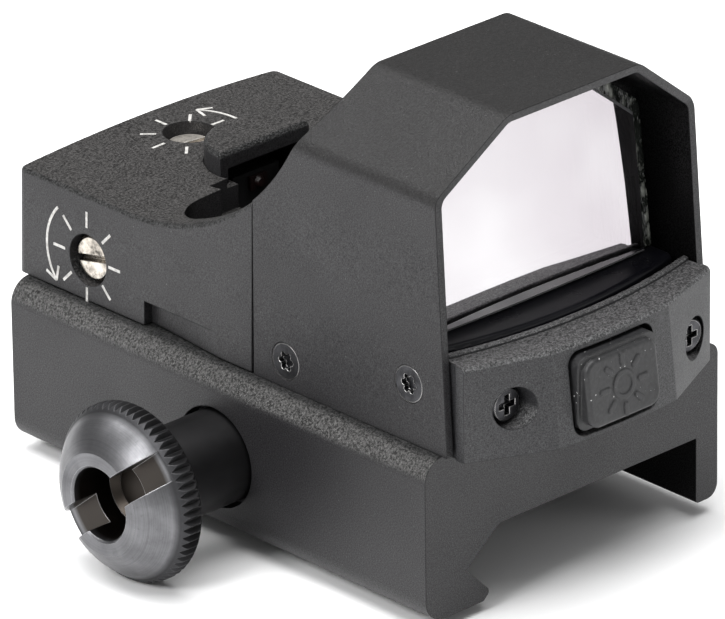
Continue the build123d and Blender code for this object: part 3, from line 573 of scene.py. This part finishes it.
# ---------------------------------------------------------------- painted marks round the adjusters
MARK_PROUD = 0.018 * MM                 # how far the paint stands off the surface
MARK_LAYER = 0.002 * MM                 # how much higher each barb lies than the stroke under it
MARK_SUNK = 0.10 * MM
MARK_WIDTH = 0.21 * MM
TICK_ANGLES = [math.radians(45 * k) for k in range(8)]
TICK_STEPS = 3
ARC_STEPS = 24
BARB_STEPS = 4


def wall_point(along, across):
    """Point and normal on the left wall: along is +Y and across is +Z from the windage screw's axis."""
    height = windage_centre[2] + across
    depth = -(WALL_HALF_WIDTH - math.tan(WALL_DRAFT) * (height - WALL_FOOT))
    normal = Vector((-1.0, 0.0, -math.tan(WALL_DRAFT))).normalized()
    return Vector((depth, windage_centre[1] + along, height)), normal


def deck_point(along, across):
    """Point and normal on the crowned deck: along is +X and across is +Y from the elevation screw's axis."""
    side = elevation_centre[0] + along
    drop = CROWN_RADIUS - math.sqrt(CROWN_RADIUS ** 2 - side ** 2)
    normal = Vector((side / CROWN_RADIUS, 0.0, 1.0)).normalized()
    return Vector((side, elevation_centre[1] + across, DECK_TOP - drop)), normal


def polar(radius, angle):
    """Flat point at a radius and an angle."""
    return Vector((radius * math.cos(angle), radius * math.sin(angle)))


def stroke(mesh, path, centre, point, proud):
    """Adds one painted stroke, a thin closed slab that follows a flat path laid on a surface."""
    rows = []
    for k, here in enumerate(path):
        before = path[max(k - 1, 0)]
        after = path[min(k + 1, len(path) - 1)]
        forward = (after - before).normalized()
        side = Vector((-forward.y, forward.x)) * MARK_WIDTH / 2
        row = []
        for flat in (centre + here + side, centre + here - side):
            place, normal = point(flat.x, flat.y)
            row.append((mesh.verts.new(place + normal * proud), mesh.verts.new(place - normal * MARK_SUNK)))
        rows.append(row)
    for (left, right), (next_left, next_right) in zip(rows, rows[1:]):
        mesh.faces.new((left[0], right[0], next_right[0], next_left[0]))
        mesh.faces.new((left[1], next_left[1], next_right[1], right[1]))
        mesh.faces.new((left[0], next_left[0], next_left[1], left[1]))
        mesh.faces.new((right[0], right[1], next_right[1], next_right[0]))
    for left, right in (rows[0], rows[-1]):
        mesh.faces.new((left[0], left[1], right[1], right[0]))


def marks(name, point, centre, tick_reach, arrow_radius, arrow_turn, barb_angle, barb_radii):
    """Eight ticks and an open-headed turning arrow round one adjuster, as one thin painted piece.

    Angles are in degrees.  tick_reach: inner and outer radius.  arrow_turn: start and tip angle.
    barb_angle: where both barbs end.  barb_radii: the outer barb's end, then the inner one's.
    """
    mesh = bmesh.new()
    inner, outer = tick_reach
    reach = [inner + (outer - inner) * k / TICK_STEPS for k in range(TICK_STEPS + 1)]
    for angle in TICK_ANGLES:
        stroke(mesh, [polar(radius, angle) for radius in reach], centre, point, MARK_PROUD)
    start, tip = (math.radians(angle) for angle in arrow_turn)
    arc = [polar(arrow_radius, start + (tip - start) * k / ARC_STEPS) for k in range(ARC_STEPS + 1)]
    stroke(mesh, arc, centre, point, MARK_PROUD)
    for layer, end_radius in enumerate(barb_radii, start=1):
        end = polar(end_radius, math.radians(barb_angle))
        barb = [arc[-1].lerp(end, k / BARB_STEPS) for k in range(BARB_STEPS + 1)]
        stroke(mesh, barb, centre, point, MARK_PROUD + layer * MARK_LAYER)
    ride_with_sight(mesh, name, marks_paint)


marks("windage_marks", wall_point, Vector((0.12, 0.15)) * MM,
      tick_reach=(2.25 * MM, 3.45 * MM), arrow_radius=4.14 * MM, arrow_turn=(44, -40.4),
      barb_angle=-28, barb_radii=(4.77 * MM, 3.32 * MM))
marks("elevation_marks", deck_point, Vector((-0.3, -0.2)) * MM,
      tick_reach=(2.25 * MM, 3.4 * MM), arrow_radius=4.3 * MM, arrow_turn=(-26, 39.6),
      barb_angle=27, barb_radii=(4.92 * MM, 3.35 * MM))


# ---------------------------------------------------------------- adhesive over the lens's top edge
BEAD_COVER = 0.55 * MM                  # from the hood's top down to the bead's top
BEAD_LIFT = 0.3 * MM                    # from the lens's top up to the bead's foot
BEAD_Y = -14.6 * MM
BEAD_HALF_LENGTH = 6.3 * MM
BEAD_HALF_WIDTH = 1.25 * MM
BEAD_STEPS = 60
BEAD_SIDES = 20
END_POWER = 8                           # a higher power gives blunter ends
END_LEAST = 0.02                        # keeps the end rings open
END_RISE = 0.1                          # the height closes in later than the width
LUMPS = ((0.07, 9.0, 0.0), (0.05, 23.0, 1.0))       # share of the width, frequency and phase


def roof_bead():
    """A lumpy closed bead that fills the slit between the lens's top edge and the hood's roof."""
    roof = hood_high[2] - BEAD_COVER
    foot = lens_high[2] + BEAD_LIFT
    middle = Vector((0.0, BEAD_Y, (roof + foot) / 2))
    half_height = (roof - foot) / 2
    mesh = bmesh.new()
    rings = []
    for k in range(BEAD_STEPS + 1):
        share = 2 * k / BEAD_STEPS - 1
        end_round = math.sqrt(max(1.0 - abs(share) ** END_POWER, END_LEAST))
        lump = 1.0 + sum(size * math.sin(rate * share + phase) for size, rate, phase in LUMPS)
        ring = []
        for turn in range(BEAD_SIDES):
            angle = 2 * math.pi * turn / BEAD_SIDES
            across = BEAD_HALF_WIDTH * end_round * lump * math.cos(angle)
            rise = half_height * min(end_round + END_RISE, 1.0) * math.sin(angle)
            ring.append(mesh.verts.new(middle + Vector((BEAD_HALF_LENGTH * share, across, rise))))
        rings.append(ring)
    for ring, following in zip(rings, rings[1:]):
        for turn in range(BEAD_SIDES):
            after = (turn + 1) % BEAD_SIDES
            face = mesh.faces.new((ring[turn], ring[after], following[after], following[turn]))
            face.smooth = True
    mesh.faces.new(rings[0])
    mesh.faces.new(rings[-1])
    ride_with_sight(mesh, "roof_bead", adhesive)


roof_bead()


# ---------------------------------------------------------------- stage, light and camera
FLOOR_REACH = 4.0
FLOOR_GAP = 0.02 * MM                   # between the lowest point and the floor


def pale_floor():
    """Plain pale floor under the lowest point."""
    material, tree, shader = new_material("pale_floor")
    cloud = noise(tree, object_place(tree), 3.0, 2.0, 0.5)
    feed(tree, shader, {"Base Color": mix_colour(tree, cloud, (0.90, 0.90, 0.905), grey(0.93))})
    shader.inputs["Roughness"].default_value = 0.7
    height = cad_low[2] - FLOOR_GAP
    corners = [(FLOOR_REACH * x, FLOOR_REACH * y, height) for x, y in ((-1, -1), (1, -1), (1, 1), (-1, 1))]
    mesh = bpy.data.meshes.new("floor")
    mesh.from_pydata(corners, [], [(0, 1, 2, 3)])
    mesh.materials.append(material)
    piece = bpy.data.objects.new("floor", mesh)
    bpy.context.collection.objects.link(piece)


def soft_light(name, place, aim, size, power):
    """A square soft light that looks at a point and doesn't show itself."""
    data = bpy.data.lights.new(name, "AREA")
    data.size = size
    data.energy = power
    light = bpy.data.objects.new(name, data)
    light.location = place
    light.rotation_mode = "QUATERNION"
    light.rotation_quaternion = (Vector(aim) - Vector(place)).to_track_quat("-Z", "Y")
    light.visible_camera = False
    bpy.context.collection.objects.link(light)


def studio():
    """White surround, a broad overhead light and three smaller ones."""
    world = bpy.data.worlds.new("studio")
    world.use_nodes = True
    background = world.node_tree.nodes["Background"]
    background.inputs["Color"].default_value = (1.0, 1.0, 1.0, 1.0)
    background.inputs["Strength"].default_value = 0.30
    bpy.context.scene.world = world
    bpy.context.scene.view_settings.view_transform = "Standard"
    soft_light("overhead", place=(-0.05, -0.05, 0.80), aim=(0, 0, 0.0), size=0.7, power=9.0)
    soft_light("key", place=(-0.46, -0.04, 0.36), aim=(0, 0, 0.01), size=0.18, power=2.1)
    soft_light("rear_left", place=(-0.24, 0.44, 0.62), aim=(0, 0, 0.01), size=0.24, power=1.8)
    soft_light("front_right", place=(0.50, -0.60, 0.20), aim=(0, 0, 0.01), size=0.35, power=0.7)


def photo_camera():
    """Long lens from the front left, a little above."""
    azimuth = math.radians(43.24)
    elevation = math.radians(24.57)
    roll = math.radians(0.716)
    distance = 0.65734
    rise = 6.25 * MM
    right = Vector((math.cos(azimuth), -math.sin(azimuth), 0.0))
    back = Vector((-math.sin(azimuth) * math.cos(elevation), -math.cos(azimuth) * math.cos(elevation),
                   math.sin(elevation)))
    up = back.cross(right)
    turned_right = math.cos(roll) * right - math.sin(roll) * up
    turned_up = math.sin(roll) * right + math.cos(roll) * up
    data = bpy.data.cameras.new("camera")
    data.sensor_width = 36.0
    data.lens = 468.3
    data.clip_start = 0.05
    data.clip_end = 20.0
    camera = bpy.data.objects.new("camera", data)
    turn = Matrix((turned_right, turned_up, back)).transposed()
    camera.matrix_world = Matrix.Translation(turned_up * rise + back * distance) @ turn.to_4x4()
    bpy.context.collection.objects.link(camera)
    bpy.context.scene.camera = camera


pale_floor()
studio()
photo_camera()
